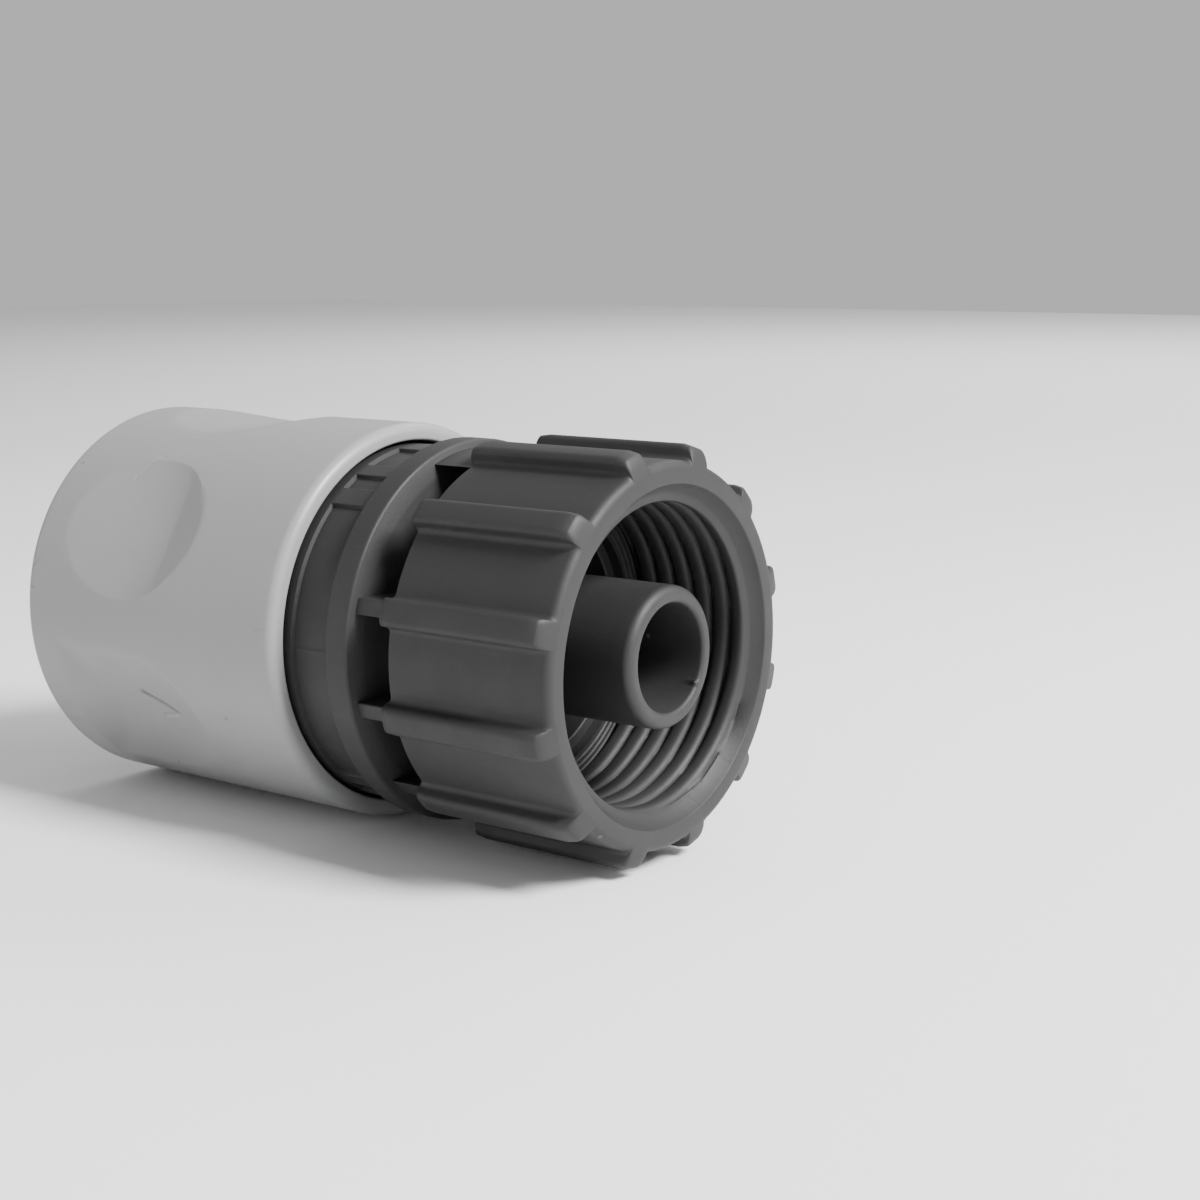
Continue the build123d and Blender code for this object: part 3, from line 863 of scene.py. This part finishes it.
def new_shader(name):
    """A new material, its node tree, its shader and the piece's own coordinates."""
    material = bpy.data.materials.new(name)
    material.use_nodes = True
    tree = material.node_tree
    where = tree.nodes.new("ShaderNodeTexCoord").outputs["Object"]
    return material, tree, tree.nodes["Principled BSDF"], where


def with_flecks(tree, where, colours, tone):
    """The colours with a few small flecks of dust and scuff of a tone, a few millimetres apart."""
    cells = node(tree, "ShaderNodeTexVoronoi", Scale=FLECK_SCALE, Randomness=1.0)
    patches = noise(tree, where, FLECK_PATCH_SCALE, detail=2.0)
    tree.links.new(where, cells.inputs["Vector"])
    spot = ramp(tree, cells.outputs["Distance"], FLECK_EDGE, (grey(1.0), grey(0.0)))
    some = ramp(tree, patches, FLECK_PATCH_EDGE, (grey(0.0), grey(1.0)))
    both = node(tree, "ShaderNodeMath", operation="MULTIPLY")
    tree.links.new(spot, both.inputs[0])
    tree.links.new(some, both.inputs[1])
    mix = node(tree, "ShaderNodeMixRGB", Color2=(*grey(tone), 1))
    tree.links.new(both.outputs["Value"], mix.inputs["Fac"])
    tree.links.new(colours, mix.inputs["Color1"])
    return mix.outputs["Color"]


def moulded_plastic(name, colour, spread, gloss, grain, specular, flecks):
    """Moulded plastic: faint flow marks and flecks in the colour, an uneven sheen, and a fine skin.

    spread is the colour's variation, gloss the middle roughness, grain the skin's strength, and flecks the
    flecks' tone.
    """
    material, tree, shader, where = new_shader(name)
    stretch = node(tree, "ShaderNodeMapping", Scale=(FLOW_STRETCH, 1, 1))
    tree.links.new(where, stretch.inputs["Vector"])
    flow = noise(tree, stretch.outputs["Vector"], FLOW_SCALE, detail=5.0)
    low_tone = tuple(c * (1 - spread) for c in colour)
    high_tone = tuple(c * (1 + spread) for c in colour)
    colours = ramp(tree, flow, PATTERN_BAND, (low_tone, high_tone))
    tree.links.new(with_flecks(tree, where, colours, flecks), shader.inputs["Base Color"])
    sheen = noise(tree, where, SHEEN_SCALE, detail=6.0)
    uneven = ramp(tree, sheen, PATTERN_BAND, (grey(gloss - SHEEN_BELOW), grey(gloss + SHEEN_ABOVE)))
    tree.links.new(uneven, shader.inputs["Roughness"])
    bump = node(tree, "ShaderNodeBump", Strength=grain, Distance=SKIN_HEIGHT)
    tree.links.new(noise(tree, where, SKIN_SCALE, detail=3.0), bump.inputs["Height"])
    tree.links.new(bump.outputs["Normal"], shader.inputs["Normal"])
    shader.inputs["Specular IOR Level"].default_value = specular
    return material


def spring_wire():
    """Drawn steel wire."""
    material, tree, shader, where = new_shader("spring_wire")
    drawn = noise(tree, where, WIRE_SCALE)
    tones = [grey(tone) for tone in WIRE_TONES]
    roughness = [grey(value) for value in WIRE_ROUGHNESS]
    tree.links.new(ramp(tree, drawn, PATTERN_BAND, tones), shader.inputs["Base Color"])
    tree.links.new(ramp(tree, drawn, PATTERN_BAND, roughness), shader.inputs["Roughness"])
    shader.inputs["Metallic"].default_value = 1.0
    return material


def dress(piece, material):
    piece.data.materials.clear()
    piece.data.materials.append(material)


# Camera, light and floor: places and sizes in metres, lens and sensor in millimetres, power in watts

CAMERA_AT = Vector((0.08896, -0.12746, 0.03144))
CAMERA_RIGHT = Vector((0.79870, 0.60173, 0.0))
CAMERA_UP = Vector((-0.10222, 0.13567, 0.98547))
CAMERA_BACK = Vector((0.59299, -0.78709, 0.16987))
CAMERA_NEAR = 0.005
CAMERA_FAR = 20
LENS = 60.0
SENSOR = 36.0
PART_MIDDLE = (-0.03, 0, 0)
FLOOR_BEHIND = (-0.1, 1.0, 0.0)
SKY_STRENGTH = 0.55
FLOOR_REACH = 1.5
FLOOR_BELOW = 0.0001
FLOOR_TONE = 0.84
FLOOR_ROUGHNESS = 0.9

# Each lamp is a square: its name, place, side, power and what it is aimed at
LAMPS = (
    ("key_light", (0.36, 0.03, 0.37), 0.18, 8.0, PART_MIDDLE),
    ("back_light", (0.35, 0.30, 0.25), 0.3, 1.0, PART_MIDDLE),
    ("fill_light", (-0.36, -0.34, 0.06), 0.3, 0.45, PART_MIDDLE),
    ("floor_light", (-0.15, 0.75, 0.6), 0.6, 7.0, FLOOR_BEHIND),
)


def make_camera():
    """The camera that was fitted to the photo's outlines."""
    data = bpy.data.cameras.new("camera")
    data.lens = LENS
    data.sensor_width = SENSOR
    data.clip_start = CAMERA_NEAR
    data.clip_end = CAMERA_FAR
    camera = link("camera", data)
    turn = Matrix((CAMERA_RIGHT, CAMERA_UP, CAMERA_BACK)).transposed().to_4x4()
    camera.matrix_world = Matrix.Translation(CAMERA_AT) @ turn
    bpy.context.scene.camera = camera


def make_lamp(name, at, side, power, aim):
    data = bpy.data.lights.new(name, "AREA")
    data.shape = "RECTANGLE"
    data.size = side
    data.size_y = side
    data.energy = power
    lamp = link(name, data)
    lamp.location = at
    lamp.rotation_euler = (Vector(aim) - Vector(at)).to_track_quat("-Z", "Y").to_euler()


def make_light():
    """An even pale sky and the lamps."""
    world = bpy.data.worlds.new("world")
    bpy.context.scene.world = world
    world.use_nodes = True
    sky = world.node_tree.nodes["Background"]
    sky.inputs["Color"].default_value = (1, 1, 1, 1)
    sky.inputs["Strength"].default_value = SKY_STRENGTH
    for lamp in LAMPS:
        make_lamp(*lamp)


def paper():
    """The floor's plain pale paper."""
    material = bpy.data.materials.new("paper")
    material.use_nodes = True
    shader = material.node_tree.nodes["Principled BSDF"]
    shader.inputs["Base Color"].default_value = (*grey(FLOOR_TONE), 1)
    shader.inputs["Roughness"].default_value = FLOOR_ROUGHNESS
    return material


def make_floor():
    """A wide floor just under the part."""
    bm = bmesh.new()
    z = CAD_LOW.z - FLOOR_BELOW
    corners = [(-1, -1), (1, -1), (1, 1), (-1, 1)]
    bm.faces.new([bm.verts.new((x * FLOOR_REACH, y * FLOOR_REACH, z)) for x, y in corners])
    floor = finish_mesh(bm, "floor")
    dress(floor, paper())


dark = moulded_plastic("dark_plastic", colour=(0.021, 0.0211, 0.0218), spread=0.1, gloss=0.56,
                       grain=0.5, specular=0.36, flecks=0.08)
pale = moulded_plastic("grey_plastic", colour=(0.25, 0.2515, 0.254), spread=0.025, gloss=0.4,
                       grain=0.25, specular=0.5, flecks=0.16)
natural = moulded_plastic("claw_plastic", colour=(0.62, 0.6, 0.56), spread=0.03, gloss=0.4,
                          grain=0.1, specular=0.5, flecks=0.5)

core_pieces = [make_ring(), make_spigot(), make_skirt(), make_barrel(), *make_webs()]
for piece in core_pieces:
    dress(piece, dark)
    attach(piece, "core")
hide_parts("body")

sleeve = make_sleeve()
dress(sleeve, pale)
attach(sleeve, "sleeve")
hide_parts("sleeve")

dress(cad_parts["mouth_ring"], dark)
spring = make_spring()
dress(spring, spring_wire())
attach(spring, "core")
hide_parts("return_spring")
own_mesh(spring)
for name in ("claw_1", "claw_2", "claw_3", "claw_4"):
    dress(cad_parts[name], natural)

make_camera()
make_light()
make_floor()
